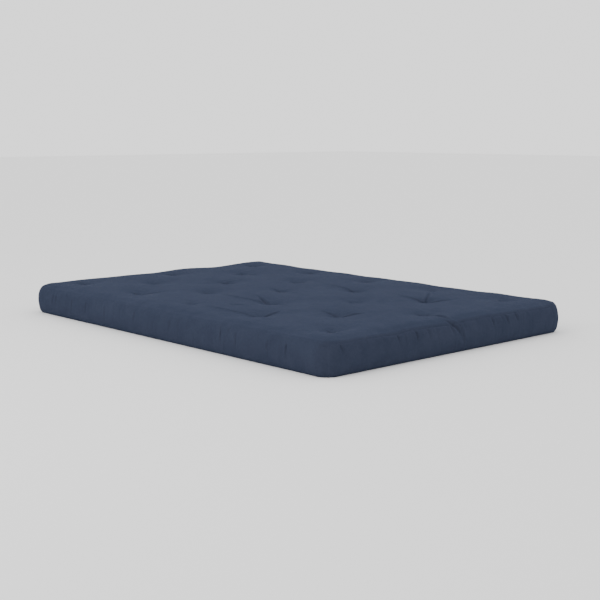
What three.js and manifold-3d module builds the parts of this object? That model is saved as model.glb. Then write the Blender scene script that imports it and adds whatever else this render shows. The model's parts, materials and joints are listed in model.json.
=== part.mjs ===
// A tufted double futon mattress: a sewn cotton cover round a stack of felt, batting and a foam core,
// held together by cords that are pulled right through it in a diamond pattern. It folds across its
// width, so that its head end can stand up as the backrest of a sofa bed.
//
// Millimetres. +X runs across the width, +Y along the length towards the head end, +Z up.
// The origin is on the underside, at the middle of the footprint.
import * as THREE from "three";
import { mergeVertices } from "three/addons/utils/BufferGeometryUtils.js";
import Module from "manifold-3d";

// Driving dimensions
const WIDTH = 1400;
const LENGTH = 2000;
const HEIGHT = 140; // to the crown of the top panel
const CORNER_RADIUS = 66; // in plan, where the mattress is widest
const WIDEST = 62; // height at which the border stands out furthest
const TOP_ROLL = 60; // how far in from the widest line the top becomes flat
const UNDER_ROLL = 20; // the same at the underside
const SEAM_HEIGHT = 116; // seam between the border and the top panel
const UNDER_SEAM_HEIGHT = 11; // seam between the border and the bottom panel
const FABRIC = 2; // cover thickness
const GAP = 0.3; // clearance between neighbouring pieces
const FOLD_FROM_FOOT = 1090; // where the mattress folds, measured from its foot end

// The padding, from the underside up: name, thickness and material
const LAYERS = [
  { name: "felt_bottom", thickness: 28, material: "felt" },
  { name: "batting_lower", thickness: 22, material: "batting" },
  { name: "foam_core", thickness: 34, material: "foam" },
  { name: "batting_upper", thickness: 20, material: "batting" },
  { name: "felt_top", thickness: 32, material: "felt" },
];

// Tufts: rows of three and rows of two alternate, which makes the diamond pattern
const TUFT_ROWS = 9;
const TUFT_ROW_PITCH = 207.5;
const TUFT_COLUMN_PITCH = 262.5; // between neighbouring columns of the staggered pattern
const TUFT_COLUMNS = [
  { name: "left", wide: -2, narrow: -1 },
  { name: "centre", wide: 0, narrow: null },
  { name: "right", wide: 2, narrow: 1 },
];
const TOP_DIMPLE = { radius: 75, depth: 28 };
const UNDER_DIMPLE = { radius: 45, depth: 12 };
const CORD_RADIUS = 1.5;
const KNOT = { radius: 6, height: 4 };
const TUFT_SIDES = 6;

const FOLD_Y = FOLD_FROM_FOOT - LENGTH / 2;
const FAR = 200; // how far a cutter reaches past what it cuts

const MATERIALS = {
  cover: new THREE.MeshStandardMaterial({ color: 0x3f4b61, roughness: 0.92, metalness: 0 }),
  felt: new THREE.MeshStandardMaterial({ color: 0xd9d3c4, roughness: 1, metalness: 0 }),
  batting: new THREE.MeshStandardMaterial({ color: 0xece8de, roughness: 1, metalness: 0 }),
  foam: new THREE.MeshStandardMaterial({ color: 0xe6dfb8, roughness: 0.85, metalness: 0 }),
  cord: new THREE.MeshStandardMaterial({ color: 0x2b3549, roughness: 0.8, metalness: 0 }),
};

const wasm = await Module();
wasm.setup();

// A closed three.js geometry as a solid that can be joined and cut.
function solid(geometry) {
  const bare = geometry.index ? geometry.toNonIndexed() : geometry.clone();
  bare.deleteAttribute("normal");
  bare.deleteAttribute("uv");
  const merged = mergeVertices(bare, 1e-4);
  const vertProperties = merged.attributes.position.array;
  const triVerts = new Uint32Array(merged.index.array);
  return new wasm.Manifold(new wasm.Mesh({ numProp: 3, vertProperties, triVerts }));
}

// A solid as a named mesh.
function mesh(name, made, material) {
  const { vertProperties, triVerts } = made.getMesh();
  const geometry = new THREE.BufferGeometry();
  geometry.setAttribute("position", new THREE.BufferAttribute(vertProperties, 3));
  geometry.setIndex(new THREE.BufferAttribute(triVerts, 1));
  geometry.computeVertexNormals();
  const piece = new THREE.Mesh(geometry, MATERIALS[material]);
  piece.name = name;
  return piece;
}

function box(x0, x1, y0, y1, z0, z1) {
  const geometry = new THREE.BoxGeometry(x1 - x0, y1 - y0, z1 - z0);
  return solid(geometry.translate((x0 + x1) / 2, (y0 + y1) / 2, (z0 + z1) / 2));
}

// Everything between two heights.
function slab(z0, z1) {
  return box(-WIDTH, WIDTH, -LENGTH, LENGTH, z0, z1);
}

// A rectangle with round corners, this far in from the widest outline.
function outline(inset) {
  const x = WIDTH / 2 - inset;
  const y = LENGTH / 2 - inset;
  const r = CORNER_RADIUS - inset;
  const shape = new THREE.Shape();
  shape.absarc(x - r, y - r, r, 0, Math.PI / 2);
  shape.absarc(r - x, y - r, r, Math.PI / 2, Math.PI);
  shape.absarc(r - x, r - y, r, Math.PI, Math.PI * 1.5);
  shape.absarc(x - r, r - y, r, Math.PI * 1.5, Math.PI * 2);
  shape.closePath();
  return shape;
}

// An upright block whose two ends are rounded over by an elliptical roll.
function rolledBlock(z0, z1, inset, roll, rollHeight) {
  const geometry = new THREE.ExtrudeGeometry(outline(inset + roll), {
    depth: z1 - z0 - 2 * rollHeight,
    curveSegments: 4,
    bevelEnabled: true,
    bevelSize: roll,
    bevelThickness: rollHeight,
    bevelSegments: 4,
  });
  return solid(geometry.translate(0, 0, z0 + rollHeight));
}

// The whole mattress as one block, this far inside its outer surface: a wide roll at the top edge
// and a tight one at the underside.
function mattressBlock(inside) {
  const top = rolledBlock(-FAR, HEIGHT - inside, inside, TOP_ROLL - inside, HEIGHT - WIDEST - inside);
  const under = rolledBlock(inside, HEIGHT + FAR, inside, UNDER_ROLL - inside, WIDEST - inside);
  return top.intersect(under);
}

// Where the tufts are, and what each is called.
function tuftPlaces() {
  const places = [];
  for (let row = 0; row < TUFT_ROWS; row++) {
    const y = (row - (TUFT_ROWS - 1) / 2) * TUFT_ROW_PITCH;
    for (const column of TUFT_COLUMNS) {
      const step = row % 2 === 0 ? column.wide : column.narrow;
      if (step === null) continue;
      places.push({ name: `tuft_row${row + 1}_${column.name}`, x: step * TUFT_COLUMN_PITCH, y });
    }
  }
  return places;
}

// A solid of revolution about an upright axis through (x, y), from [radius, height] pairs.
function turned(profile, x, y) {
  const points = profile.map(([r, z]) => new THREE.Vector2(r, z));
  const geometry = new THREE.LatheGeometry(points, TUFT_SIDES);
  return solid(geometry.rotateX(Math.PI / 2).translate(x, y, 0));
}

// What one tuft takes away from a block that lies this far inside the outer surface: a dimple in
// the top, one in the underside, and the hole for the cord.
function tuftCutter({ x, y }, inside) {
  const top = HEIGHT - inside;
  const hole = CORD_RADIUS + GAP;
  const seat = KNOT.radius + 1; // the flat bottom of a dimple, where the knot lies
  const slope = [1, 0.62, 0.18]; // share of the depth at even steps out from there
  const dimple = (side, base, { radius, depth }) =>
    slope.map((share, i) => {
      const r = seat + ((radius - seat) * i) / slope.length;
      return [r, base + side * depth * share];
    });
  return turned(
    [
      [0, -FAR],
      [UNDER_DIMPLE.radius, -FAR],
      [UNDER_DIMPLE.radius, inside],
      ...dimple(1, inside, UNDER_DIMPLE).reverse(),
      [hole, inside + UNDER_DIMPLE.depth],
      [hole, top - TOP_DIMPLE.depth],
      ...dimple(-1, top, TOP_DIMPLE),
      [TOP_DIMPLE.radius, top],
      [TOP_DIMPLE.radius, HEIGHT + FAR],
      [0, HEIGHT + FAR],
    ],
    x,
    y,
  );
}

// A tufting cord with the knot under the mattress and the one on top of it.
function tuftCord({ x, y }) {
  const under = UNDER_DIMPLE.depth - GAP;
  const top = HEIGHT - TOP_DIMPLE.depth + GAP;
  return turned(
    [
      [0, under - KNOT.height],
      [KNOT.radius, under - KNOT.height / 2],
      [CORD_RADIUS, under],
      [CORD_RADIUS, top],
      [KNOT.radius, top + KNOT.height / 2],
      [0, top + KNOT.height],
    ],
    x,
    y,
  );
}

// The part of a block that belongs to each side of the fold.
function halves(block) {
  const seat = block.intersect(box(-WIDTH, WIDTH, -LENGTH, FOLD_Y - GAP / 2, -FAR, HEIGHT + FAR));
  const back = block.intersect(box(-WIDTH, WIDTH, FOLD_Y + GAP / 2, LENGTH, -FAR, HEIGHT + FAR));
  return { seat, back };
}

// A wedge that takes the border along one side as far as the corner seams at 45 degrees.
function borderSector(along, across, turn) {
  const reach = FAR / 2;
  const clear = GAP / Math.SQRT2;
  const shape = new THREE.Shape();
  shape.moveTo(-along - reach + clear, -across - reach);
  shape.lineTo(along + reach - clear, -across - reach);
  shape.lineTo(along - reach - clear, -across + reach);
  shape.lineTo(-along + reach + clear, -across + reach);
  shape.closePath();
  const geometry = new THREE.ExtrudeGeometry(shape, { depth: HEIGHT, bevelEnabled: false });
  return solid(geometry.rotateZ(turn));
}

// The sewn cover: a top and a bottom panel, and a border of four strips with seams at the corners.
function coverPieces(shell) {
  const pieces = [];
  const panels = {
    cover_top: slab(SEAM_HEIGHT + GAP / 2, HEIGHT + FAR),
    cover_bottom: slab(-FAR, UNDER_SEAM_HEIGHT - GAP / 2),
  };
  for (const [name, where] of Object.entries(panels))
    for (const [side, half] of Object.entries(halves(shell.intersect(where))))
      pieces.push(mesh(`${name}_${side}`, half, "cover"));

  const border = shell.intersect(slab(UNDER_SEAM_HEIGHT + GAP / 2, SEAM_HEIGHT - GAP / 2));
  const [x, y] = [WIDTH / 2, LENGTH / 2];
  pieces.push(mesh("border_foot", border.intersect(borderSector(x, y, 0)), "cover"));
  pieces.push(mesh("border_head", border.intersect(borderSector(x, y, Math.PI)), "cover"));
  const long = { border_right: Math.PI / 2, border_left: -Math.PI / 2 };
  for (const [name, turn] of Object.entries(long))
    for (const [side, half] of Object.entries(halves(border.intersect(borderSector(y, x, turn)))))
      pieces.push(mesh(`${name}_${side}`, half, "cover"));
  return pieces;
}

// The padding, layer by layer from the underside up.
function paddingPieces(filling) {
  const pieces = [];
  let z = FABRIC;
  for (const { name, thickness, material } of LAYERS) {
    const layer = filling.intersect(slab(z + GAP / 2, z + thickness - GAP / 2));
    for (const [side, half] of Object.entries(halves(layer)))
      pieces.push(mesh(`${name}_${side}`, half, material));
    z += thickness;
  }
  return pieces;
}

const tufts = tuftPlaces();
const dimpled = (block, inside) =>
  tufts.reduce((left, tuft) => left.subtract(tuftCutter(tuft, inside)), block);
const outer = dimpled(mattressBlock(0), 0);
const lining = dimpled(mattressBlock(FABRIC), FABRIC);
const filling = dimpled(mattressBlock(FABRIC + GAP), FABRIC + GAP);

const mattress = new THREE.Group();
mattress.add(...coverPieces(outer.subtract(lining)));
mattress.add(...paddingPieces(filling));
mattress.add(...tufts.map((tuft) => mesh(tuft.name, tuftCord(tuft), "cord")));

export default mattress;
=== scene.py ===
"""A tufted double futon mattress, lying flat: a sewn cotton cover, the padding in it and its tufts.

Metres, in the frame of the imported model: +X across the width, +Y towards the head end, +Z up, with
the origin on the underside at the middle of the footprint.
"""
import json
import math

import bpy
import numpy as np
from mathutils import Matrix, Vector


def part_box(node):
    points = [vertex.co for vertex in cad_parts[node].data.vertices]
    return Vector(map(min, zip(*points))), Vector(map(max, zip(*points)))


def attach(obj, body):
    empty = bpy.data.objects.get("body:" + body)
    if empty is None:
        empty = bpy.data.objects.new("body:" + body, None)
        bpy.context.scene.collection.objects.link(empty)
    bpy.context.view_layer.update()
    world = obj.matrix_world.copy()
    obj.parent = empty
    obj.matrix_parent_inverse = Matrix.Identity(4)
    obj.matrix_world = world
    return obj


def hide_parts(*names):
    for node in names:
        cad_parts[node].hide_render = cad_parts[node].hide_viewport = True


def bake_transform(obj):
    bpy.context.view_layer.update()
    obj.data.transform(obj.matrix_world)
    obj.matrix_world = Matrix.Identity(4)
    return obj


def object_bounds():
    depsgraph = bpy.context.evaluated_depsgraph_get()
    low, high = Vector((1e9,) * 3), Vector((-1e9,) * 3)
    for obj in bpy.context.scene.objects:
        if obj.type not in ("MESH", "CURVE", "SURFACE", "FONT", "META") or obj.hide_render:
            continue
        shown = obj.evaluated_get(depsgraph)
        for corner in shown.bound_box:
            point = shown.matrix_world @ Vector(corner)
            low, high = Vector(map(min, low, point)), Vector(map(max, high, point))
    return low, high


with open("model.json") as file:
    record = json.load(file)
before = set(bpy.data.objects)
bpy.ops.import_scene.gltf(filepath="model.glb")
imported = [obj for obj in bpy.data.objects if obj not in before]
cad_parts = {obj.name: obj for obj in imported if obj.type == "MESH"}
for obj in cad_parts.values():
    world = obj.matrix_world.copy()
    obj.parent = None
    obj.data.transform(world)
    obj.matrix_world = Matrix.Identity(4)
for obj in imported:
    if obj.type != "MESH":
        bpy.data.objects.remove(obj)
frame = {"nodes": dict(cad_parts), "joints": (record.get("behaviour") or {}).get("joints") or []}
cad_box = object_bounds()

# ---- sizes, in metres

WIDTH = cad_box[1][0] - cad_box[0][0]
LENGTH = cad_box[1][1] - cad_box[0][1]
CAD_TOP = cad_box[1][2]
FOLD_Y = frame["joints"][0]["pos_m"][1]

HEIGHT = CAD_TOP - 0.0040  # of the padding's flat top; the cover swells a little above it
CROWN = CAD_TOP + 0.0025  # the cover never stands higher than this
CORNER = 0.066  # radius of the outline's corners where the mattress is widest
WIDEST = 0.062  # height of the widest line
TOP_ROLL = 0.060  # plan distance from the widest line to the flat top
UNDER_ROLL = 0.018
SEAM_Z, UNDER_SEAM_Z = 0.117, 0.004  # heights of the seams along the border
SEAM_INSET = 0.011  # how far inside the widest line the upper seam runs

TUFT_DEPTH = 0.0265
UNDER_TUFT_DEPTH = 0.011
TUFT_REACH = 0.029  # how far from a tuft the surface has recovered two thirds of its height
SMALL_LIFT = 0.002  # of a tuft's pull that the underside does not feel
PINCH_DEPTH, PINCH_REACH = 0.0060, 0.007  # of the sharp pit right at a tuft
GATHER, GATHER_REACH = 0.35, 0.026  # how strongly, and how near, a tuft draws the cloth together

BEND_BEFORE, BEND_AFTER = 0.05, 0.19  # how far the bend reaches towards the foot and the head

CELLS_PER_COLUMN, CELLS_PER_ROW, EDGE_CELLS, BORDER_ROWS = 24, 20, 14, 10
TOP_FINER, UNDER_FINER, BORDER_FINER = 3, 2, 3  # how many times finer the finished grids are

CLOTH_FRAMES = 18
CLOTH_SLACK = (1.038, 1.012)  # how much wider and longer the cloth is cut than what it covers
CLOTH_PRESSURE = 1.4
UNEVENNESS = 0.0018  # of the padding's top
FLOOR_CLEARANCE = 0.0003  # between the underside and what it lies on

CORE_X, CORE_Y = WIDTH / 2 - CORNER, LENGTH / 2 - CORNER
FOOT, HEAD, LEFT, RIGHT = (0, -1), (0, 1), (-1, 0), (1, 0)

rng = np.random.default_rng(5)


def lengths(vectors):
    return np.linalg.norm(vectors, axis=1)


def bell(x):
    return np.exp(-x ** 2)


def distances_along(points):
    """How far along a line of points each one is."""
    return np.concatenate([[0], np.cumsum(lengths(np.diff(points, axis=0)))])


# ---- the tufts' places

def middle_of(node):
    low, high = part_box(node)
    return [(low[axis] + high[axis]) / 2 for axis in (0, 1)]


TUFT_NAMES = sorted(name for name in frame["nodes"] if name.startswith("tuft_"))
TUFTS = np.array([middle_of(name) for name in TUFT_NAMES])
COLUMN_PITCH = float(TUFTS[:, 0].max()) / 2
ROW_PITCH = float(TUFTS[:, 1].max()) / 4


def tuft(row, column):
    """A tuft's place by its row from the foot end and its column from -2, left, to 2, right."""
    return np.array([column * COLUMN_PITCH, (row - 5) * ROW_PITCH])


def nearest_to(place, points):
    return int(np.argmin(lengths(points - place)))


def tuft_distance(plan):
    """How far each point in plan is from its nearest tuft."""
    return np.min([lengths(plan - place) for place in TUFTS], axis=0)


# How far some tufts are off their pattern, along DRIFT_WAY: only tufts that the photograph shows, and
# by less than it suggests.
DRIFT = {
    (3, 0): 0.018, (7, -2): 0.018, (3, -2): 0.016, (1, -2): 0.012, (7, 2): 0.008, (6, 1): 0.004,
    (6, -1): -0.010, (5, 0): -0.014, (4, 1): -0.015, (2, 1): -0.012, (1, 2): -0.011, (2, -1): -0.006,
    (9, 2): -0.004,
}
DRIFT_WAY = np.array([0.74, -0.67])
DRIFT_REACH = 0.09


def drifted(points):
    """Points moved along with the tufts that are off their pattern."""
    points = points.copy()
    plan = points[:, :2].copy()
    for place, distance in DRIFT.items():
        near = bell(lengths(plan - tuft(*place)) / DRIFT_REACH)
        points[:, :2] += (distance * near)[:, None] * DRIFT_WAY
    return points


# ---- the surface the padding holds up

def wrap_profile():
    """Offset from the core rectangle and height, by the distance walked over the edge and under."""
    shares, angle = np.linspace(0, 1, 60), np.linspace(0, math.pi / 2, 60)
    flat, seam = CORNER - TOP_ROLL, CORNER - SEAM_INSET
    top = [(flat + (seam - flat) * t, HEIGHT - (HEIGHT - SEAM_Z) * t ** 1.5) for t in shares]
    side = [(seam + SEAM_INSET * (1 - (1 - t) ** 2), SEAM_Z - (SEAM_Z - WIDEST) * t) for t in shares[1:]]
    under = [(CORNER - UNDER_ROLL * (1 - math.cos(a)), WIDEST * (1 - math.sin(a))) for a in angle[1:]]
    points = np.array([(0.0, HEIGHT)] + top + side + under + [(0.0, 0.0)])
    return distances_along(points), points[:, 0], points[:, 1]


WALKED, OFFSET, RISE = wrap_profile()


def walked_to(height):
    """How far one has walked over the edge when the surface has come down to this height."""
    first, last = np.argmax(RISE < HEIGHT - 1e-9), np.argmax(RISE < 1e-9)
    return np.interp(-height, -RISE[first:last + 1], WALKED[first:last + 1])


TOP_SEAM, UNDER_SEAM = walked_to(SEAM_Z), walked_to(UNDER_SEAM_Z)
WHOLE_WRAP = float(WALKED[-1])
UNDER_REACH = WHOLE_WRAP - UNDER_SEAM  # from the core rectangle's edge to the lower seam
BORDER = UNDER_SEAM - TOP_SEAM


def on_wrap(core, out, walk):
    """Points of the wrapped surface: core points, outward directions and distances walked."""
    offset = np.interp(walk, WALKED, OFFSET)
    return np.column_stack([core + out * offset[:, None], np.interp(walk, WALKED, RISE)])


def in_core(plan):
    """The core rectangle's nearest point to each point in plan."""
    return np.clip(plan, [-CORE_X, -CORE_Y], [CORE_X, CORE_Y])


def core_and_out(sheet, reach):
    """The core rectangle's nearest point to each point of a sheet, a direction and a distance.

    The sheet's square corners are drawn in to round ones."""
    flat = sheet.reshape(-1, 2)
    core = in_core(flat)
    s, t = ((flat - core) / reach).T
    disc = np.column_stack([s * np.sqrt(1 - t * t / 2), t * np.sqrt(1 - s * s / 2)]) * reach
    far = lengths(disc)
    return core, disc / np.maximum(far, 1e-9)[:, None], far


def grid_lines(pitch, cells, halves, edge):
    """Sheet coordinates of grid lines that pass through every tuft, symmetric about 0."""
    inner = np.linspace(0, pitch * halves, cells * halves + 1)
    outer = np.linspace(pitch * halves, edge, EDGE_CELLS + 1)[1:]
    half = np.concatenate([inner, outer])
    return np.concatenate([-half[:0:-1], half])


def panel_sheet(reach):
    """The flat sheet of a top or bottom panel, as a grid of points."""
    us = grid_lines(COLUMN_PITCH, CELLS_PER_COLUMN, 2, CORE_X + reach)
    vs = grid_lines(ROW_PITCH, CELLS_PER_ROW, 4, CORE_Y + reach)
    return np.stack(np.meshgrid(us, vs, indexing="ij"), 2)


# ---- meshes

def new_object(name, data):
    obj = bpy.data.objects.new(name, data)
    bpy.context.scene.collection.objects.link(obj)
    return obj


def mesh_object(name, points, faces, sheet=None):
    """A smooth mesh, with each point's place on the flat cloth as the attribute sheet."""
    mesh = bpy.data.meshes.new(name)
    mesh.from_pydata(points.tolist(), [], faces if isinstance(faces, list) else faces.tolist())
    mesh.validate()
    mesh.polygons.foreach_set("use_smooth", np.ones(len(mesh.polygons), bool))
    if sheet is not None:
        flat = mesh.attributes.new("sheet", "FLOAT_VECTOR", "POINT")
        flat.data.foreach_set("vector", np.column_stack([sheet, np.zeros(len(sheet))]).ravel())
    return new_object(name, mesh)


def grid_faces(grid):
    """Quads between the points of a grid, which are numbered row by row."""
    rows, columns = grid.shape[:2]
    i, j = [a.ravel() for a in np.indices((rows - 1, columns - 1))]
    first = i * columns + j
    return np.column_stack([first, first + columns, first + columns + 1, first + 1])


def ring_faces(rings):
    """Quads between closed rings of as many points, each joined to the next."""
    return np.concatenate([
        np.column_stack([one, other, np.roll(other, -1), np.roll(one, -1)])
        for one, other in zip(rings, rings[1:])
    ])


def outline_loop(grid):
    """Indices of a grid's outer points, once around."""
    nu, nv = grid.shape[:2]
    i, j = np.arange(nu - 1), np.arange(nv - 1)
    return np.concatenate([i * nv, (nu - 1) * nv + j, (nu - 1 - i) * nv + nv - 1, nv - 1 - j])


def finer(grid, times, axis, around=False):
    """A grid with times as many steps along an axis, on smooth curves through its points."""
    g = np.moveaxis(grid, axis, 0)
    n = len(g)
    if around:
        before, start, after, beyond = np.roll(g, 1, 0), g, np.roll(g, -1, 0), np.roll(g, -2, 0)
    else:
        longer = np.concatenate([2 * g[:1] - g[1:2], g, 2 * g[-1:] - g[-2:-1]])
        before, start, after, beyond = [longer[k:n - 1 + k] for k in range(4)]
    parts = []
    for step in range(times):
        t = step / times
        square = 2 * before - 5 * start + 4 * after - beyond
        cube = 3 * start - before - 3 * after + beyond
        parts.append(start + ((after - before) * t + square * t ** 2 + cube * t ** 3) / 2)
    made = np.stack(parts, 1).reshape((-1,) + g.shape[1:])
    if not around:
        made = np.concatenate([made, g[-1:]])
    return np.moveaxis(made, 0, axis)


def finer_both(grid, times):
    return finer(finer(grid, times, 0), times, 1)


def blurred(grid, times, axes=(0, 1)):
    """A grid with differences between neighbours smoothed away, its outer lines kept."""
    for _ in range(times):
        for axis in axes:
            g = np.moveaxis(grid, axis, 0).copy()
            g[1:-1] = g[1:-1] / 2 + (g[:-2] + g[2:]) / 4
            grid = np.moveaxis(g, 0, axis)
    return grid


def normals_of(grid, around=False):
    """Unit normals of a grid's points, all on one side of it, which the caller may have to turn."""
    along = np.roll(grid, -1, 0) - np.roll(grid, 1, 0) if around else np.gradient(grid, axis=0)
    n = np.cross(along, np.gradient(grid, axis=1))
    return n / np.maximum(np.linalg.norm(n, axis=2, keepdims=True), 1e-12)


def waves(points, longest, shortest, count, seed):
    """A smooth random field of about unit size, as a sum of waves between two wavelengths."""
    made = np.random.default_rng(seed)
    total = np.zeros(len(points))
    for _ in range(count):
        heading, phase = made.uniform(0, 2 * math.pi, 2)
        k = 2 * math.pi / math.exp(made.uniform(math.log(shortest), math.log(longest)))
        total += np.sin(k * (points[:, 0] * math.cos(heading) + points[:, 1] * math.sin(heading)) + phase)
    return total * math.sqrt(2 / count)


def eased(t):
    t = np.clip(t, 0, 1)
    return t * t * (3 - 2 * t)


# ---- creases

def creased(off, t, depth, width, gather=0.45, lip=0.30, tail=0.6):
    """What a crease does at signed distances off from its line and shares t of the way along it.

    The cloth is drawn in towards the line, sinks there, and stands up in a lip on each side."""
    strength = eased(t / 0.10) * eased((1 - t) / tail)
    drawn = off * (1 - gather * bell(off / (4 * width)) * strength)
    x = drawn / width
    sink = np.exp(-np.abs(x) ** 1.25) - lip * bell((np.abs(x) - 2.5) / 1.2) * (1 + 0.5 * np.sign(x))
    return drawn - off, depth * strength * sink


# Longer creases of the top: where each starts and is headed, the share of the way that it reaches,
# its depth and width, and how far it bows to its left.
CREASES = [
    (tuft(3, -2), tuft(5, -2), 0.85, 0.0075, 0.0050, 0.012),
    (tuft(3, -2), tuft(3, 0), 0.30, 0.0060, 0.0040, -0.006),
    (tuft(4, -1), tuft(6, -1), 0.90, 0.0075, 0.0055, 0.022),
    (tuft(4, -1), tuft(7, 0), 0.33, 0.0075, 0.0055, 0.004),
    (tuft(4, -1), tuft(2, -1), 0.30, 0.0045, 0.0040, 0.003),
    (tuft(5, 0), tuft(7, 0), 0.35, 0.0045, 0.0040, -0.006),
    (tuft(5, 0), tuft(3, 0), 0.30, 0.0040, 0.0035, 0.004),
    (tuft(4, 1), tuft(6, 1), 0.62, 0.0075, 0.0050, -0.010),
    (tuft(2, 1), tuft(4, 1), 0.48, 0.0095, 0.0050, 0.010),
    (tuft(2, 1), tuft(3, 2), 0.85, 0.0040, 0.0035, 0.008),
    (tuft(2, 1), tuft(1, 2), 0.38, 0.0045, 0.0035, 0.0),
    (tuft(2, -1), tuft(4, -1), 0.32, 0.0075, 0.0050, -0.004),
    (tuft(2, -1), tuft(1, 0), 0.32, 0.0060, 0.0040, 0.004),
    (tuft(1, 0), np.array([-0.022, -LENGTH / 2]), 0.95, 0.0070, 0.0055, 0.006),
    (tuft(7, -2), tuft(6, -1), 0.45, 0.0040, 0.0040, -0.006),
    (tuft(8, 1), tuft(6, 1), 0.40, 0.0040, 0.0040, 0.004),
    (np.array([-0.45, -0.16]), np.array([-0.40, -0.24]), 1.0, 0.0030, 0.0035, 0.003),
]
# Tufts that are pulled to a share of TUFT_DEPTH of their own.
DEEPER = {(3, -2): 1.22, (4, -1): 1.22, (2, 1): 1.24, (2, -1): 1.22, (6, -1): 1.1, (1, 0): 1.1}


def along_crease(points, crease):
    """Shares of the way along a crease and signed distances from it, of points in plan."""
    start, headed, share, _, _, bow = crease
    way = (headed - start) * share
    length = np.linalg.norm(way)
    away = points - start
    t = away @ way / length ** 2
    off = away @ np.array([-way[1], way[0]]) / length
    return t, off - bow * np.sin(math.pi * np.clip(t, 0, 1)), np.array([-way[1], way[0]]) / length


def in_valley(points, crease, width):
    """How strongly each point in plan lies in the broad valley of a crease, from 0 to 1."""
    t, off, _ = along_crease(points, crease)
    past = np.maximum(np.maximum(-t, t - 1), 0) * np.linalg.norm(crease[1] - crease[0]) * crease[2]
    return np.exp(-(off ** 2 + past ** 2) / width ** 2) * (1 - 0.7 * np.clip(t, 0, 1) ** 3)


def small_creases(seed, depth):
    """Short creases that the pull of each tuft makes around it."""
    made = np.random.default_rng(seed)
    creases = []
    for place in TUFTS:
        count = made.integers(5, 9)
        turn = made.uniform(0, 2 * math.pi)
        for k in range(count):
            angle = turn + 2 * math.pi * (k + made.uniform(-0.3, 0.3)) / count
            lengthwise = abs(math.sin(angle))
            length = made.uniform(0.028, 0.060) * (0.7 + 0.6 * lengthwise)
            heading = np.array([math.cos(angle), math.sin(angle)])
            deep = depth * made.uniform(0.35, 1.0) * (0.5 + 0.5 * lengthwise)
            width = made.uniform(0.0028, 0.0048)
            creases.append((place, place + heading * length, 1.0, deep, width, made.normal(0, 0.003)))
    return creases


def crease_panel(grid, creases, sign):
    """A panel with creases let into it; sign is 1 for the top panel and -1 for the bottom one."""
    points = grid.reshape(-1, 3).copy()
    plan = points[:, :2].copy()
    moved = np.zeros_like(points)
    for crease in creases:
        t, off, side = along_crease(plan, crease)
        near = np.nonzero((t > 0) & (t < 1) & (np.abs(off) < 0.05))[0]
        shift, sink = creased(off[near], t[near], crease[3], crease[4])
        moved[near, :2] += shift[:, None] * side
        moved[near, 2] -= sign * sink
    for place in TUFTS:
        away = plan - place
        r = lengths(away)
        near = r < 0.09
        pull = GATHER * bell(r[near] / GATHER_REACH)
        moved[near, :2] -= away[near] * pull[:, None]
        moved[near, 2] -= sign * PINCH_DEPTH * np.exp(-r[near] / PINCH_REACH)
    return (points + moved).reshape(grid.shape)


# ---- the cover, as one cloth

TOP_SHEET = panel_sheet(TOP_SEAM)
NU, NV = TOP_SHEET.shape[:2]
LOOP = outline_loop(TOP_SHEET)
NL = len(LOOP)
CORE, OUT, FAR = core_and_out(TOP_SHEET, TOP_SEAM)
FAR_GRID = FAR.reshape(NU, NV)
BORDER_WALKS = np.linspace(TOP_SEAM, UNDER_SEAM, BORDER_ROWS + 1)

DEPTHS = TUFT_DEPTH * rng.uniform(0.72, 1.10, len(TUFTS))
for place, share in DEEPER.items():
    DEPTHS[nearest_to(tuft(*place), TUFTS)] = TUFT_DEPTH * share


def dimples(plan):
    """How far the tufts pull the padding's top down."""
    sunk = np.zeros(len(plan))
    for place, depth in zip(TUFTS, DEPTHS):
        sunk = np.maximum(sunk, depth * np.exp(-(lengths(plan - place) / TUFT_REACH) ** 1.15))
    return sunk


def underside_lift(plan):
    """How far the tufts pull the padding's underside up."""
    return np.maximum(dimples(plan) - SMALL_LIFT, 0) * UNDER_TUFT_DEPTH / TUFT_DEPTH


def firmness(plan):
    """How firmly the padding holds each point of the cover, from 0 to 1."""
    held = 0.11 + 0.04 * waves(plan, 0.5, 0.2, 7, 8)
    for crease in CREASES:
        held *= 1 - 0.75 * in_valley(plan, crease, 0.035)
    rolled = np.clip((FAR - 0.012) / 0.03, 0, 1)
    return np.clip(held, 0.02, 0.2) * (1 - rolled) + 0.30 * rolled


def simulated(goal, cut, faces, weights):
    """The cover's points after a cloth simulation: it starts at goal and is cut to fit cut."""
    obj = mesh_object("cover_cloth", goal, faces)
    obj.shape_key_add(name="Basis")
    rest = obj.shape_key_add(name="cut")
    rest.data.foreach_set("co", cut.ravel())
    group = obj.vertex_groups.new(name="held")
    for i, weight in enumerate(weights):
        group.add([i], float(weight), "REPLACE")
    modifier = obj.modifiers.new("Cloth", "CLOTH")
    cloth = modifier.settings
    settings = {
        "quality": 4, "mass": 0.2, "tension_stiffness": 20, "compression_stiffness": 20,
        "shear_stiffness": 8, "bending_stiffness": 0.08, "tension_damping": 5,
        "compression_damping": 5, "shear_damping": 5, "air_damping": 2, "use_pressure": True,
        "uniform_pressure_force": CLOTH_PRESSURE, "vertex_group_mass": "held", "pin_stiffness": 1,
        "rest_shape_key": rest,
    }
    for name, value in settings.items():
        setattr(cloth, name, value)
    cloth.effector_weights.gravity = 0
    modifier.collision_settings.use_collision = False
    modifier.collision_settings.use_self_collision = False
    modifier.point_cache.frame_start = 1
    modifier.point_cache.frame_end = CLOTH_FRAMES
    scene = bpy.context.scene
    scene.frame_start, scene.frame_end = 1, CLOTH_FRAMES
    for number in range(1, CLOTH_FRAMES + 1):
        scene.frame_set(number)
    shown = obj.evaluated_get(bpy.context.evaluated_depsgraph_get()).to_mesh()
    made = np.zeros(len(goal) * 3)
    shown.vertices.foreach_get("co", made)
    scene.frame_set(1)
    bpy.data.objects.remove(obj)
    return made.reshape(-1, 3)


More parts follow.
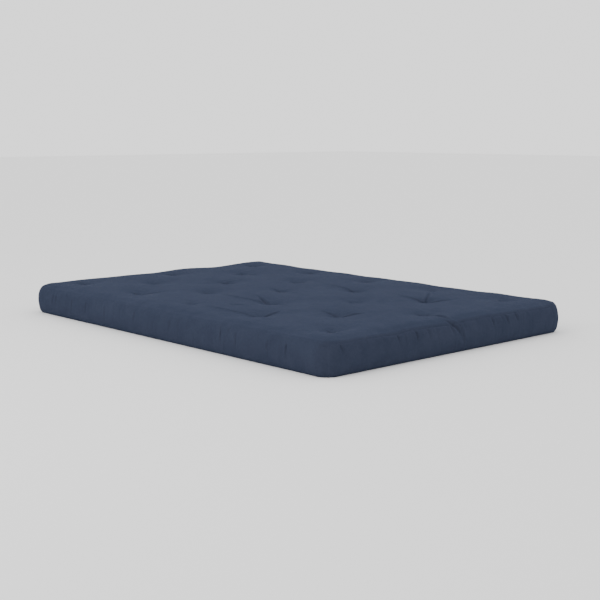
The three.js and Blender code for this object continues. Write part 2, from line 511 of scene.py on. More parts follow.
def cover_grids():
    """The top panel's grid and the border's, as the simulation leaves them."""
    top = on_wrap(CORE, OUT, FAR)
    plan = top[:, :2]
    rings = [on_wrap(CORE[LOOP], OUT[LOOP], np.full(NL, walk)) for walk in BORDER_WALKS]
    bare = np.concatenate([top] + rings[1:])
    index = [LOOP] + [len(top) + k * NL + np.arange(NL) for k in range(BORDER_ROWS)]
    faces = np.concatenate([grid_faces(TOP_SHEET), ring_faces(index)])
    goal = bare.copy()
    goal[:len(top), 2] -= dimples(plan) - UNEVENNESS * waves(plan, 0.60, 0.22, 9, 3)
    for crease in CREASES:
        goal[:len(top), 2] -= 0.6 * crease[3] * in_valley(plan, crease, 0.016)
    held = np.full(len(bare), 0.30)
    held[:len(top)] = firmness(plan)
    held[[nearest_to(place, plan) for place in TUFTS]] = 1
    held[index[-1]] = 1
    goal += rng.normal(0, 0.0002, goal.shape)
    made = simulated(goal, bare * [*CLOTH_SLACK, 1.0], faces, held)
    shift = made - bare
    top_shift = blurred(shift[:len(top)].reshape(NU, NV, 3), 1)
    ring_shift = np.stack([shift[ring] for ring in index], 1)
    ring_shift = blurred(np.concatenate([ring_shift[-4:], ring_shift, ring_shift[:4]]), 2, (0,))[4:-4]
    top_shift.reshape(-1, 3)[LOOP] = ring_shift[:, 0]
    return top.reshape(NU, NV, 3) + top_shift, np.stack(rings, 1) + ring_shift


def kept_low(grid):
    """A grid with whatever stands over the crown pressed down to it."""
    grid = grid.copy()
    room = 0.006  # below the crown, in which the rise levels out
    knee = CROWN - room
    over = np.maximum(grid[..., 2] - knee, 0)
    grid[..., 2] = np.minimum(grid[..., 2], knee) + room * (1 - np.exp(-over / room))
    return grid


top_grid, border_grid = [kept_low(grid) for grid in cover_grids()]


# ---- seams and puckers

def sides_of(core, out):
    """For each side of the outline, how far along it each point is, or nan where it isn't on it."""
    made = {}
    for side in (FOOT, HEAD, LEFT, RIGHT):
        on = out @ np.array(side, float) > 0.6
        axis = 0 if side[0] == 0 else 1
        made[side] = np.where(on, core[:, axis] + out[:, axis] * CORNER, np.nan)
    return made


def puckers():
    """Puckers of the border: side, place, tilt, start and end below the top seam, width, depth."""
    made = [
        (FOOT, -0.030, 0.60, -0.030, 0.095, 0.0085, 0.0130),
        (FOOT, -0.042, 0.40, 0.002, 0.050, 0.0050, 0.0060),
        (FOOT, 0.020, 0.25, 0.002, 0.070, 0.0042, 0.0048),
    ]
    for place in (-0.62, -0.33, -0.235, -0.165, 0.215, 0.305, 0.370):
        made.append((FOOT, place, 0.10, 0.002, rng.uniform(0.045, 0.075), 0.0045, 0.0058))
    for place in (0.82, 0.79, 0.655, 0.535, 0.385, 0.16, -0.09, -0.42, -0.51, -0.69, -0.79):
        made.append((LEFT, place, rng.normal(0, 0.05), 0.020, rng.uniform(0.08, 0.11), 0.0042, 0.0031))
    for side, half in ((FOOT, 0.66), (HEAD, 0.66), (LEFT, 0.96), (RIGHT, 0.96)):
        long_side = side[0] != 0
        for place in np.arange(-half, half, 0.017):
            start = rng.uniform(-0.004, 0.004)
            long = rng.random() < (0.45 if long_side else 0.2)
            end = start + (rng.uniform(0.06, 0.10) if long else rng.uniform(0.015, 0.045))
            depth = (0.0010 if long_side else 0.0020) * rng.random() ** 1.7 + 0.0001
            place += rng.normal(0, 0.006)
            made.append((side, place, rng.normal(0, 0.10), start, end, rng.uniform(0.003, 0.0055), depth))
        for place in np.arange(-half, half, 0.035):
            start, end = BORDER - rng.uniform(0.03, 0.08), BORDER + 0.004
            depth = 0.0009 * rng.random() ** 1.5
            place += rng.normal(0, 0.015)
            made.append((side, place, rng.normal(0, 0.10), start, end, rng.uniform(0.004, 0.008), depth))
    return made


PUCKERS = puckers()
ALONG = {FOOT: (1, 0), HEAD: (1, 0), LEFT: (0, 1), RIGHT: (0, 1)}


def puckered(points, normals, core, out, walk):
    """Points of the cover with the border's puckers let into them."""
    places = sides_of(core, out)
    below = walk - TOP_SEAM
    moved = np.zeros_like(points)
    for side, place, tilt, start, end, width, depth in PUCKERS:
        off = places[side] - place - tilt * (below - start)
        near = np.nonzero((np.abs(off) < 8 * width) & (below > start) & (below < end))[0]
        t = (below[near] - start) / (end - start)
        shift, sink = creased(off[near], t, depth, width, 0.35, min(0.35, 0.0016 / depth), 0.8)
        moved[near, :2] += shift[:, None] * np.array(ALONG[side])
        moved[near] -= normals[near] * sink[:, None]
    return points + moved


def seam_sink(walk, out):
    """How deep the two seams draw the cloth in: more across the ends than along the sides."""
    across = np.abs(out[:, 1]) ** 2
    deep, wide = 0.0014 + 0.0022 * across, 0.0052 - 0.0014 * across
    top = deep * np.exp(-np.abs((walk - TOP_SEAM) / wide) ** 1.2)
    top -= 0.0014 * bell((walk - TOP_SEAM + 0.013) / 0.007)
    return top + 0.0016 * np.exp(-np.abs((walk - UNDER_SEAM) / 0.004) ** 1.2)


def corner_sink(out):
    """How deep the upright seams at the corners draw the border in."""
    turned = np.abs(np.abs(out[:, 0]) - np.abs(out[:, 1])) * math.sqrt(0.5) * CORNER
    return 0.0014 * np.exp(-(turned / 0.0045) ** 1.3)


def panel_sink(walk, out, seam):
    """How deep the seams draw a panel in; the corners' ones only where they meet the panel's own."""
    return (seam_sink(walk, out) + corner_sink(out) * bell((walk - seam) / 0.010))[:, None]


def seam_wander(points, core, out, walk):
    """The seam's line wanders up and down a little, and cloth near it with it."""
    plan = core + out * CORNER
    near = bell((walk - TOP_SEAM) / 0.022)
    points[:, 2] += near * 0.0011 * waves(plan, 0.25, 0.06, 12, 31)
    return points


def seam_normals(normals, out, walk):
    """Normals that agree, along each seam, between the two pieces of cloth that it joins."""
    for seam, across, up in ((TOP_SEAM, 0.80, 0.60), (UNDER_SEAM, 1.0, 0.0)):
        near = bell((walk - seam) / 0.012)[:, None]
        shared = np.column_stack([out * across, np.full(len(out), up)])
        normals = normals * (1 - near) + shared * near
    return normals / np.maximum(lengths(normals)[:, None], 1e-9)


def fine_relief(plan):
    """The felt's unevenness, as it shows through the cover near the tufts."""
    nearest = np.minimum(tuft_distance(plan), 0.4)
    return 0.00035 * waves(plan, 0.05, 0.02, 30, 21) * (0.35 + np.exp(-nearest / 0.08))


def finished_top(grid):
    """The top panel's points at full fineness, with its creases, and their places on the sheet."""
    fine, sheet = finer_both(grid, TOP_FINER), finer_both(TOP_SHEET, TOP_FINER)
    core, out, far = core_and_out(sheet, TOP_SEAM)
    fine = crease_panel(fine, CREASES + small_creases(9, 0.0040), 1)
    normals = normals_of(fine).reshape(-1, 3)
    normals *= np.sign(normals[len(normals) // 2, 2])
    points = fine.reshape(-1, 3)
    rolled = np.where(far[:, None] > 0.005, out, 0)
    normals = seam_normals(normals, out, far)
    points = puckered(points, normals, core, rolled, far)
    points = points - normals * panel_sink(far, out, TOP_SEAM)
    points[:, 2] += fine_relief(points[:, :2]) * np.clip(1 - far / TOP_SEAM, 0, 1)
    return seam_wander(points, core, out, far).reshape(fine.shape), sheet


def finished_border(grid):
    """The border's points at full fineness, with the outward directions at its upper edge."""
    fine = finer(finer(grid, TOP_FINER, 0, around=True), BORDER_FINER, 1)
    core, out = [finer(a[LOOP], TOP_FINER, 0, around=True) for a in (CORE, OUT)]
    out /= lengths(out)[:, None]
    walks = finer(BORDER_WALKS, BORDER_FINER, 0)
    rows = len(walks)
    cores, outs, walked = np.repeat(core, rows, 0), np.repeat(out, rows, 0), np.tile(walks, len(core))
    normals = normals_of(fine, around=True).reshape(-1, 3)
    normals *= np.sign((normals[:, :2] * outs).sum())
    normals = seam_normals(normals, outs, walked)
    points = puckered(fine.reshape(-1, 3), normals, cores, outs, walked)
    points = points - normals * (seam_sink(walked, outs) + corner_sink(outs))[:, None]
    around = cores @ [1.0, 1.0] + outs @ [1.0, 1.0] * CORNER
    ripple = 0.00022 * waves(np.column_stack([around, walked / 12]), 0.03, 0.009, 16, 40)
    points += normals * ripple[:, None]
    return seam_wander(points, cores, outs, walked).reshape(fine.shape), out, walks


def bottom_grid():
    """The bottom panel: it rests flat, and is pulled up at the tufts."""
    fine = finer_both(panel_sheet(UNDER_REACH), UNDER_FINER)
    core, out, far = core_and_out(fine, UNDER_REACH)
    points = on_wrap(core, out, WHOLE_WRAP - far)
    points[:, 2] += underside_lift(points[:, :2]) * np.clip(1 - far / 0.03, 0, 1)
    walk = WHOLE_WRAP - far
    points[:, :2] -= out * panel_sink(walk, out, UNDER_SEAM)
    grid = crease_panel(points.reshape(*fine.shape[:2], 3), small_creases(17, 0.0018), -1)
    grid[..., 2] = np.maximum(grid[..., 2], FLOOR_CLEARANCE)
    return grid, fine


top_points, top_sheet = finished_top(top_grid)
border_points, border_out, border_walks = finished_border(border_grid)
bottom_points, bottom_sheet = bottom_grid()


def nearest_on(line, points):
    """The point of a closed line that is nearest to each of some points."""
    way = np.roll(line, -1, 0) - line
    share = ((points[:, None] - line) * way).sum(axis=2) / (way ** 2).sum(axis=1)
    near = line + np.clip(share, 0, 1)[..., None] * way
    best = np.linalg.norm(points[:, None] - near, axis=2).argmin(axis=1)
    return near[np.arange(len(points)), best]


def join_seams():
    """Brings the top panel and the border exactly together, and puts the bottom panel's edge points
    on the line of the border's lower edge."""
    top, bottom = top_points.reshape(-1, 3), bottom_points.reshape(-1, 3)
    top_loop = outline_loop(top_points)
    bottom_loop = outline_loop(bottom_points)
    border_points[:, 0] = top[top_loop] = (top[top_loop] + border_points[:, 0]) / 2
    bottom[bottom_loop] = nearest_on(border_points[:, -1], bottom[bottom_loop])


join_seams()
ALLOWANCE = 0.008  # of cloth turned in at each seam
TURNS = (ALLOWANCE, 0.4 * ALLOWANCE)


def with_turns(grid, first, last):
    """A grid with two more rows beyond each end, these ways from its first and last rows."""
    before = [grid[:1] + first * turn for turn in TURNS]
    return np.concatenate(before + [grid] + [grid[-1:] + last * turn for turn in TURNS[::-1]])


def towards_core(points, rise):
    """Directions in which a seam allowance turns in from points of the outline."""
    away = in_core(points[:, :2]) - points[:, :2]
    away /= np.maximum(lengths(away)[:, None], 1e-9)
    return np.column_stack([away, np.full(len(points), rise)])


def facing_out(obj):
    """Turns a shell's faces so that they look away from the middle of the mattress."""
    middle = Vector((0, 0, HEIGHT / 2))
    if sum((face.center - middle).dot(face.normal) * face.area for face in obj.data.polygons) < 0:
        obj.data.flip_normals()
    return obj


def sharpen(obj, line):
    """Shades the two sides of a folded line of points apart."""
    mesh = obj.data
    ends = np.zeros(2 * len(mesh.edges), int)
    mesh.edges.foreach_get("vertices", ends)
    on_line = np.isin(ends, line).reshape(-1, 2).all(axis=1)
    sharp = mesh.attributes.get("sharp_edge") or mesh.attributes.new("sharp_edge", "BOOLEAN", "EDGE")
    was = np.zeros(len(mesh.edges), bool)
    sharp.data.foreach_get("value", was)
    sharp.data.foreach_set("value", was | on_line)


def panel_piece(name, grid, sheet, rise):
    """A top or bottom panel as an object, with its seam allowance turned in all around."""
    points, flat = grid.reshape(-1, 3), sheet.reshape(-1, 2)
    loop = outline_loop(grid)
    inward = towards_core(points[loop], rise) * ALLOWANCE
    rings = [loop] + [len(points) + k * len(loop) + np.arange(len(loop)) for k in range(2)]
    faces = np.concatenate([grid_faces(grid), ring_faces(rings)])
    all_points = np.concatenate([points, points[loop] + 0.4 * inward, points[loop] + inward])
    all_flat = np.concatenate([flat, flat[loop], flat[loop]])
    obj = facing_out(mesh_object(name, drifted(all_points), faces, all_flat))
    sharpen(obj, loop)
    return obj


def border_piece(name, first, last):
    """One strip of the border between two corner seams, with its allowances turned in, and its length
    along the middle."""
    index = np.arange(first, last + 1) % len(border_points)
    grid = border_points[index]
    along = distances_along(grid[:, grid.shape[1] // 2])
    up, down = towards_core(grid[:, 0], -0.10), towards_core(grid[:, -1], 0.10)
    grid = with_turns(grid.swapaxes(0, 1), up, down).swapaxes(0, 1)
    flat = np.stack(np.meshgrid(along, with_turns(border_walks, -1, 1), indexing="ij"), 2)
    grid = with_turns(grid, *[np.append(-border_out[index[end]], 0) for end in (0, -1)])
    flat = with_turns(flat, np.array([-1, 0]), np.array([1, 0]))
    points = drifted(grid.reshape(-1, 3))
    obj = facing_out(mesh_object(name, points, grid_faces(grid), flat.reshape(-1, 2)))
    numbers = np.arange(grid.shape[0] * grid.shape[1]).reshape(grid.shape[:2])
    for line in (numbers[:, 2], numbers[:, -3], numbers[2], numbers[-3]):
        sharpen(obj, line)
    return obj, float(along[-1])


cover_top = panel_piece("cover_top", top_points, top_sheet, 0.10)
cover_bottom = panel_piece("cover_bottom", bottom_points, bottom_sheet, -0.10)
stops = np.array([0, NU - 1, NU + NV - 2, 2 * NU + NV - 3, NL]) * TOP_FINER
borders = {}
for k, side in enumerate(("foot", "right", "head", "left")):
    borders[f"border_{side}"] = border_piece(f"{side}_strip", stops[k], stops[k + 1])


# ---- the padding

SIDE_INSET = 0.009  # how far inside the border the padding ends
LAYER_GAP = 0.0006
LEAST_THICK = 0.004  # of a layer where the cover presses it down
LAYERS = ["felt_bottom", "batting_lower", "foam_core", "batting_upper", "felt_top"]
LAYER_STARTS = [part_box(f"{name}_seat")[0][2] for name in LAYERS] + [CAD_TOP]
HOLE = 0.0026  # radius of the hole that a cord has pulled through the padding
UNDER_COVER = 0.0030  # from the floor to the padding's underside
STEP = 2  # the lower layers' grids take every second line of the cover's


def side_inset(core, out):
    """How far inside the border the padding ends: further where the border's big fold goes in."""
    fold = bell((core[:, 0] + 0.010) / 0.055) * (out[:, 1] < -0.6)
    return SIDE_INSET + 0.014 * fold


def padding_heights():
    """The top of the stack and its underside, on the cover's grid."""
    upper = top_points[::TOP_FINER, ::TOP_FINER]
    normals = normals_of(upper)
    normals *= np.sign(normals[NU // 2, NV // 2, 2])
    inset = 0.0035 + 0.0045 * (FAR_GRID / TOP_SEAM)
    upper = upper - normals * inset[..., None]
    plan = upper[..., :2].reshape(-1, 2)
    for crease in CREASES:
        upper[..., 2] -= 1.3 * crease[3] * in_valley(plan, crease, 0.035).reshape(NU, NV)
    inside = np.interp(FAR, WALKED, OFFSET) - side_inset(CORE, OUT)
    edge = np.column_stack([CORE + OUT * inside[:, None], np.interp(FAR, WALKED, RISE) - 0.0085])
    at_edge = eased((FAR_GRID / TOP_SEAM - 0.45) / 0.5)[..., None]
    blended = upper * (1 - at_edge) + edge.reshape(NU, NV, 3) * at_edge
    blended[..., 2] = np.minimum(blended[..., 2], upper[..., 2])
    lower = UNDER_COVER + underside_lift(plan)
    nearest = tuft_distance(plan)
    lower += 0.0065 * np.exp(-nearest / 0.009) + 0.0022 * bell(nearest / 0.05)
    return blended, lower.reshape(NU, NV)


UPPER, LOWER = padding_heights()


def face_between(share, height, above):
    """The grid where two layers meet: this share of the way up, at this height at its edge.

    It stays below the layers above it, however many they are."""
    offset = np.interp(walked_to(height), WALKED, OFFSET) - side_inset(CORE, OUT)
    plan = CORE + OUT * (FAR / TOP_SEAM * offset)[:, None]
    flat = np.column_stack([plan, np.zeros(len(plan))]).reshape(NU, NV, 3)
    rise = LOWER + (UPPER[..., 2] - LOWER) * share
    edge = eased(FAR_GRID / TOP_SEAM)
    flat[..., 2] = rise * (1 - edge) + height * edge
    inner = np.clip(1 - FAR_GRID / 0.03, 0, 1)[..., None]
    flat[..., :2] += (UPPER[..., :2] - flat[..., :2]) * share * inner
    flat[..., 2] += 0.0008 * waves(plan, 0.3, 0.06, 14, 50 + int(share * 10)).reshape(NU, NV) * (1 - edge)
    flat[..., 2] = np.minimum(flat[..., 2], UPPER[..., 2] - LEAST_THICK * above)
    return flat


def padding_layer(number):
    """One layer of the padding, a closed piece with a hole for each cord."""
    name = LAYERS[number]
    low, high = LAYER_STARTS[number], LAYER_STARTS[number + 1]
    first, last = number == 0, number == len(LAYERS) - 1
    floor_z = UNDER_SEAM_Z + 0.006
    above = len(LAYERS) - number
    bottom = face_between(0.0, floor_z, above) if first else face_between(low / HEIGHT, low, above)
    top = UPPER.copy() if last else face_between(high / HEIGHT, high, above - 1)
    top[..., 2] -= LAYER_GAP / 2
    bottom[..., 2] += LAYER_GAP / 2
    step = 1 if last else STEP
    tops, bottoms = [g[::step, ::step].copy() for g in (top, bottom)]
    nu, nv = tops.shape[:2]
    count = nu * nv
    lines = TOP_SHEET[::step, ::step].reshape(-1, 2)
    faces = grid_faces(tops)
    keep = np.ones(len(faces), bool)
    walls = []
    around = [(-1, -1), (0, -1), (1, -1), (1, 0), (1, 1), (0, 1), (-1, 1), (-1, 0)]
    turn = np.array([math.atan2(dj, di) for di, dj in around])
    for place in TUFTS:
        middle = nearest_to(place, lines)
        i, j = divmod(middle, nv)
        keep &= ~(faces == middle).any(axis=1)
        ring = np.array([(i + di) * nv + j + dj for di, dj in around])
        for grid in (tops, bottoms):
            flat = grid.reshape(-1, 3)
            flat[ring, 0] = place[0] + HOLE * np.cos(turn)
            flat[ring, 1] = place[1] + HOLE * np.sin(turn)
            flat[ring, 2] = flat[middle, 2]
        walls.append(ring_faces([ring + count, ring]))
    faces = faces[keep]
    loop = outline_loop(tops)
    edge_core, edge_out = [
        a.reshape(NU, NV, 2)[::step, ::step].reshape(-1, 2)[loop] for a in (CORE, OUT)
    ]
    edge_top, edge_bottom = [grid.reshape(-1, 3)[loop, 2] for grid in (tops, bottoms)]
    sides = []
    for share in (0.25, 0.5, 0.75):
        height = edge_top * (1 - share) + edge_bottom * share
        offset = np.interp(walked_to(height), WALKED, OFFSET) - side_inset(edge_core, edge_out)
        sides.append(np.column_stack([edge_core + edge_out * offset[:, None], height]))
    between = [2 * count + k * len(loop) + np.arange(len(loop)) for k in range(len(sides))]
    edge = ring_faces([loop, *between, loop + count])
    all_faces = np.concatenate([faces, faces[:, ::-1] + count, *walls, edge])
    points = np.concatenate([tops.reshape(-1, 3), bottoms.reshape(-1, 3)] + sides)
    used = np.unique(all_faces)
    number_of = np.zeros(len(points), int)
    number_of[used] = np.arange(len(used))
    points = points[used]
    return facing_out(mesh_object(name, drifted(points), number_of[all_faces], points[:, :2]))


padding = {name: padding_layer(number) for number, name in enumerate(LAYERS)}


# ---- the tufting cords

CORD_RADIUS = 0.0013
CORD_SIDES = 8
KNOT_RADIUS = 0.0011  # of the knot's own turns
KNOT_LIFT = 0.0022  # of the knot's middle off the cloth


def tube(path, radius, closed):
    """Points, faces and sheet coordinates of a tube along a path."""
    path = np.array(path)
    ahead = np.roll(path, -1, 0) - np.roll(path, 1, 0) if closed else np.gradient(path, axis=0)
    ahead /= lengths(ahead)[:, None]
    side = np.cross(ahead[0], [0.3, 0.9, 0.1])
    angle = np.arange(CORD_SIDES) * 2 * math.pi / CORD_SIDES
    rings, flat = [], []
    for point, way, walked in zip(path, ahead, distances_along(path)):
        side = side - way * (side @ way)
        side /= np.linalg.norm(side)
        other = np.cross(way, side)
        rings.append(point + radius * (np.cos(angle)[:, None] * side + np.sin(angle)[:, None] * other))
        flat.append(np.column_stack([angle * radius, np.full(CORD_SIDES, walked)]))
    n = len(path)
    faces = []
    for k in range(n if closed else n - 1):
        a, b = k * CORD_SIDES, (k + 1) % n * CORD_SIDES
        for c in range(CORD_SIDES):
            d = (c + 1) % CORD_SIDES
            faces.append([a + c, a + d, b + d, b + c])
    if not closed:
        faces.append(list(range(CORD_SIDES))[::-1])
        faces.append([(n - 1) * CORD_SIDES + c for c in range(CORD_SIDES)])
    return np.concatenate(rings), faces, np.concatenate(flat)


def about(middle, radius, angle, rise):
    """A point at this distance, direction and height from another."""
    return (middle[0] + radius * math.cos(angle), middle[1] + radius * math.sin(angle), middle[2] + rise)


def knot_path(middle, turn):
    """A small flat knot around a point: the cord crosses itself three times."""
    return [about(middle, KNOT_RADIUS * (2 + math.cos(3 * t)), 2 * t + turn, KNOT_RADIUS * math.sin(3 * t))
            for t in np.linspace(0, 2 * math.pi, 48, endpoint=False)]


def tail_path(middle, turn, side):
    """A short cut end of cord that leaves a knot and lies in the dimple."""
    return [about(middle, 0.002 + 0.009 * t, turn + 0.9 * t, side * (0.0012 + 0.0035 * t ** 1.5))
            for t in np.linspace(0, 1, 9)]


def cord_piece(name, place):
    """One tuft: a cord pulled through the mattress, with a knot and two cut ends on each side."""
    u = int(np.argmin(np.abs(TOP_SHEET[:, 0, 0] - place[0])))
    v = int(np.argmin(np.abs(TOP_SHEET[0, :, 1] - place[1])))
    upper = top_points[u * TOP_FINER, v * TOP_FINER] + [0, 0, KNOT_LIFT]
    lower = bottom_points[u * UNDER_FINER, v * UNDER_FINER] - [0, 0, KNOT_LIFT]
    turn = rng.uniform(0, 2 * math.pi)
    tubes = [tube(np.linspace(lower, upper, 24), CORD_RADIUS, False)]
    for middle, side in ((upper, 1), (lower, -1)):
        tubes.append(tube(knot_path(middle, turn), CORD_RADIUS, True))
        for ahead in (0.3, math.pi + 0.1):
            tubes.append(tube(tail_path(middle, turn + ahead, side * 0.8), CORD_RADIUS * 0.9, False))
    points, faces, flat, count = [], [], [], 0
    for made, made_faces, made_flat in tubes:
        points.append(made)
        faces += [[index + count for index in face] for face in made_faces]
        flat.append(made_flat)
        count += len(made)
    return mesh_object(f"{name}_cord", drifted(np.concatenate(points)), faces, np.concatenate(flat))


cords = {name: cord_piece(name, place) for name, place in zip(TUFT_NAMES, TUFTS)}


# ---- materials

def new_material(name, roughness, specular, **inputs):
    """A material with its node tree and its Principled shader's inputs."""
    material = bpy.data.materials.new(name)
    material.use_nodes = True
    shader = material.node_tree.nodes["Principled BSDF"].inputs
    inputs = {"Roughness": roughness, "Specular IOR Level": specular, **inputs}
    for key, value in inputs.items():
        shader[key.replace("_", " ")].default_value = value
    return material, material.node_tree, shader


def node(tree, kind, inputs, **settings):
    """A node with its settings; an input is a number or colour, or another node's output."""
    made = tree.nodes.new(kind)
    for name, value in settings.items():
        setattr(made, name, value)
    for name, value in inputs.items():
        if isinstance(value, bpy.types.NodeSocket):
            tree.links.new(value, made.inputs[name])
        else:
            made.inputs[name].default_value = value
    return made


def cloth_material(*words, **inputs):
    """A new material, and the places on the flat cloth that its nodes read."""
    material, tree, shader = new_material(*words, **inputs)
    place = node(tree, "ShaderNodeAttribute", {}, attribute_name="sheet").outputs["Vector"]
    return material, tree, shader, place


def noise(tree, place, scale, stretch=(1, 1, 1), detail=3.0, rough=0.5):
    """Noise of this scale, in repeats a metre, stretched along the cloth."""
    mapped = node(tree, "ShaderNodeMapping", {"Vector": place, "Scale": stretch})
    inputs = {"Vector": mapped.outputs["Vector"], "Scale": scale, "Detail": detail, "Roughness": rough}
    return node(tree, "ShaderNodeTexNoise", inputs).outputs["Fac"]


def bands(tree, place, inputs):
    """Slanted bands, as in twill or twisted cord."""
    settings = {"wave_type": "BANDS", "bands_direction": "DIAGONAL"}
    return node(tree, "ShaderNodeTexWave", {"Vector": place, **inputs}, **settings).outputs["Fac"]


def maths(tree, operation, one, other):
    return node(tree, "ShaderNodeMath", {0: one, 1: other}, operation=operation).outputs[0]


def mixed_sum(tree, parts):
    """The sum of (output, weight) pairs."""
    total = None
    for output, weight in parts:
        part = maths(tree, "MULTIPLY", output, weight)
        total = part if total is None else maths(tree, "ADD", total, part)
    return total


def dye(tree, shader, value, stops):
    """Colours a material by a ramp through (place, colour) stops."""
    made = node(tree, "ShaderNodeValToRGB", {"Fac": value})
    elements = made.color_ramp.elements
    while len(elements) < len(stops):
        elements.new(0.5)
    for element, (place, colour) in zip(elements, stops):
        element.position = place
        element.color = (*colour, 1)
    tree.links.new(made.outputs["Color"], shader["Base Color"])


def bump(tree, shader, height, distance, strength):
    made = node(tree, "ShaderNodeBump", {"Height": height, "Distance": distance, "Strength": strength})
    tree.links.new(made.outputs["Normal"], shader["Normal"])


def cotton_twill():
    """Navy cotton twill: diagonal ribs, uneven yarns both ways, faint mottling and a dry bloom."""
    material, tree, shader, place = cloth_material(
        "cotton_twill", 0.9, 0.02, Sheen_Weight=0.05, Sheen_Roughness=0.6,
        Sheen_Tint=(0.11, 0.22, 0.52, 1),
    )
    warp = noise(tree, place, 90, (14, 1, 1), 3.0, 0.6)
    weft = noise(tree, place, 90, (1, 14, 1), 3.0, 0.6)
    mottle = noise(tree, place, 16, detail=4.0)
    cloud = noise(tree, place, 2.6, detail=2.0)
    ribs = bands(tree, place, {"Scale": 210.0, "Distortion": 0.6, "Detail": 2.0, "Detail Scale": 2.0})
    tone = mixed_sum(tree, [(warp, 0.34), (weft, 0.30), (mottle, 0.16), (cloud, 0.10), (ribs, 0.10)])
    dye(tree, shader, tone, [(0.30, DARK_NAVY), (0.50, NAVY), (0.70, PALE_NAVY)])
    rough = node(tree, "ShaderNodeMapRange", {"Value": tone, "To Min": 0.82, "To Max": 0.97})
    tree.links.new(rough.outputs["Result"], shader["Roughness"])
    height = mixed_sum(tree, [(ribs, 0.5), (warp, 0.5), (weft, 0.5), (mottle, 0.4)])
    bump(tree, shader, height, 0.0005, 0.5)
    return material


def felt():
    """Undyed needled cotton felt: matted fibres with darker flecks of seed."""
    material, tree, shader, place = cloth_material("cotton_felt", 1.0, 0.1)
    fibres = noise(tree, place, 260, (1, 3, 1), 6.0, 0.7)
    clumps = noise(tree, place, 28, detail=4.0)
    flecks = node(tree, "ShaderNodeTexVoronoi", {"Vector": place, "Scale": 130.0, "Randomness": 1.0})
    reach = {"Value": flecks.outputs["Distance"], "From Min": 0.05, "From Max": 0.14}
    speck = node(tree, "ShaderNodeMapRange", reach).outputs["Result"]
    tone = mixed_sum(tree, [(fibres, 0.45), (clumps, 0.35), (speck, 0.20)])
    stops = [(0.25, (0.38, 0.33, 0.26)), (0.55, (0.66, 0.62, 0.53)), (0.8, (0.78, 0.75, 0.67))]
    dye(tree, shader, tone, stops)
    bump(tree, shader, mixed_sum(tree, [(fibres, 0.6), (clumps, 1.0)]), 0.0015, 0.7)
    return material


def batting():
    """Carded batting: soft white fibres that lie lengthwise."""
    material, tree, shader, place = cloth_material("carded_batting", 1.0, 0.1, Sheen_Weight=0.3)
    fibres = noise(tree, place, 60, (9, 1, 1), 6.0, 0.7)
    tufts = noise(tree, place, 18, detail=5.0)
    tone = mixed_sum(tree, [(fibres, 0.6), (tufts, 0.4)])
    dye(tree, shader, tone, [(0.3, (0.70, 0.68, 0.63)), (0.7, (0.88, 0.87, 0.84))])
    bump(tree, shader, tone, 0.003, 0.6)
    return material


def foam():
    """Open-cell foam: fine cells with a slightly yellowed skin."""
    material, tree, shader, place = cloth_material("open_cell_foam", 0.9, 0.2)
    cells = node(tree, "ShaderNodeTexVoronoi", {"Vector": place, "Scale": 420.0})
    broad = noise(tree, place, 6, detail=3.0)
    tone = mixed_sum(tree, [(cells.outputs["Distance"], 0.5), (broad, 0.5)])
    dye(tree, shader, tone, [(0.25, (0.62, 0.55, 0.33)), (0.65, (0.80, 0.75, 0.53))])
    bump(tree, shader, cells.outputs["Distance"], 0.0012, 0.6)
    return material


def waxed_cord():
    """Dark blue tufting cord: two strands twisted together."""
    material, tree, shader, place = cloth_material("waxed_cord", 0.6, 0.4)
    strands = bands(tree, place, {"Scale": 120.0, "Distortion": 0.4})
    hairs = noise(tree, place, 900, detail=3.0)
    tone = mixed_sum(tree, [(strands, 0.6), (hairs, 0.4)])
    dye(tree, shader, tone, [(0.2, (0.006, 0.009, 0.018)), (0.8, (0.030, 0.042, 0.075))])
    bump(tree, shader, strands, 0.0006, 0.8)
    return material


DARK_NAVY, NAVY, PALE_NAVY = (0.0157, 0.0198, 0.0341), (0.0273, 0.0327, 0.0527), (0.0430, 0.0496, 0.0744)
TWILL, CORD = cotton_twill(), waxed_cord()
PADDING_LOOKS = {"felt": felt(), "batting": batting(), "foam": foam()}


# ---- what each piece is and follows

def follow(obj):
    """Makes a piece ride on the section it is in; a piece that crosses the fold is left unattached, its
    transform baked into its points.
    """
    start, end = FOLD_Y - BEND_BEFORE, FOLD_Y + BEND_AFTER
    ys = [corner[1] for corner in obj.bound_box]
    if max(ys) <= start:
        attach(obj, "seat_section")
    elif min(ys) >= end:
        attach(obj, "back_section")
    else:
        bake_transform(obj)


def finish_piece(obj, material, nodes):
    obj.data.materials.append(material)
    follow(obj)
    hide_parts(*nodes)


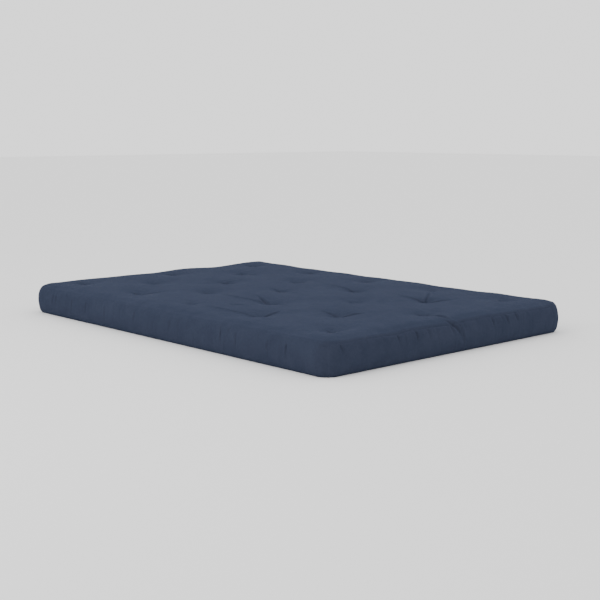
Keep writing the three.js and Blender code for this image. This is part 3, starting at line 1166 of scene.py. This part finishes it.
PANEL_FLAT = {
    cover_top: (2 * (CORE_X + TOP_SEAM + ALLOWANCE), 2 * (CORE_Y + TOP_SEAM + ALLOWANCE)),
    cover_bottom: (2 * (CORE_X + UNDER_REACH + ALLOWANCE), 2 * (CORE_Y + UNDER_REACH + ALLOWANCE)),
}
for panel, flat in PANEL_FLAT.items():
    finish_piece(panel, TWILL, [f"{panel.name}_seat", f"{panel.name}_back"])
for name, (strip, length) in borders.items():
    ends = name in ("border_foot", "border_head")
    finish_piece(strip, TWILL, [name] if ends else [f"{name}_seat", f"{name}_back"])
for name, layer in padding.items():
    look = name.split("_")[0]
    finish_piece(layer, PADDING_LOOKS[look], [f"{name}_seat", f"{name}_back"])
for name, cord in cords.items():
    finish_piece(cord, CORD, [name])


# ---- studio and camera

FLOOR_HALF, FLOOR_DROP = 30.0, 0.0004
corners = np.array([(-1, -1, 0), (1, -1, 0), (1, 1, 0), (-1, 1, 0)]) * FLOOR_HALF
floor = mesh_object("floor", corners - [0, 0, FLOOR_DROP], np.array([(0, 1, 2, 3)]))
floor.data.materials.append(new_material("floor", 0.9, 0.2, Base_Color=(0.88, 0.88, 0.88, 1))[0])

world = bpy.data.worlds.new("world")
bpy.context.scene.world = world
world.use_nodes = True
sky = world.node_tree.nodes["Background"].inputs
sky["Color"].default_value, sky["Strength"].default_value = (1, 1, 1, 1), 1.58

KEY_PLACE, KEY_TARGET, KEY_SIZE, KEY_POWER = (-4.2, -0.2, 2.5), (0, 0, 0.1), 1.0, 52
light = bpy.data.lights.new("key", "AREA")
light.shape, light.energy = "RECTANGLE", KEY_POWER
light.size = light.size_y = KEY_SIZE
key = new_object("key", light)
key.location = KEY_PLACE
key.rotation_euler = (Vector(KEY_TARGET) - Vector(KEY_PLACE)).to_track_quat("-Z", "Y").to_euler()

# The photograph's angle: off the foot end's left corner, a little above the mattress.
CAMERA_PLACE, CAMERA_LENS = (-3.283, -3.697, 0.843), 67.03
CAMERA_TURN, CAMERA_TILT = 42.389, 8.606  # degrees from +Y towards +X, and down
camera = bpy.data.cameras.new("camera")
camera.lens, camera.sensor_width = CAMERA_LENS, 36
camera_object = new_object("camera", camera)
camera_object.location = CAMERA_PLACE
yaw, pitch = math.radians(CAMERA_TURN), math.radians(CAMERA_TILT)
look = Vector((math.sin(yaw) * math.cos(pitch), math.cos(yaw) * math.cos(pitch), -math.sin(pitch)))
camera_object.rotation_euler = look.to_track_quat("-Z", "Y").to_euler()
bpy.context.scene.camera = camera_object
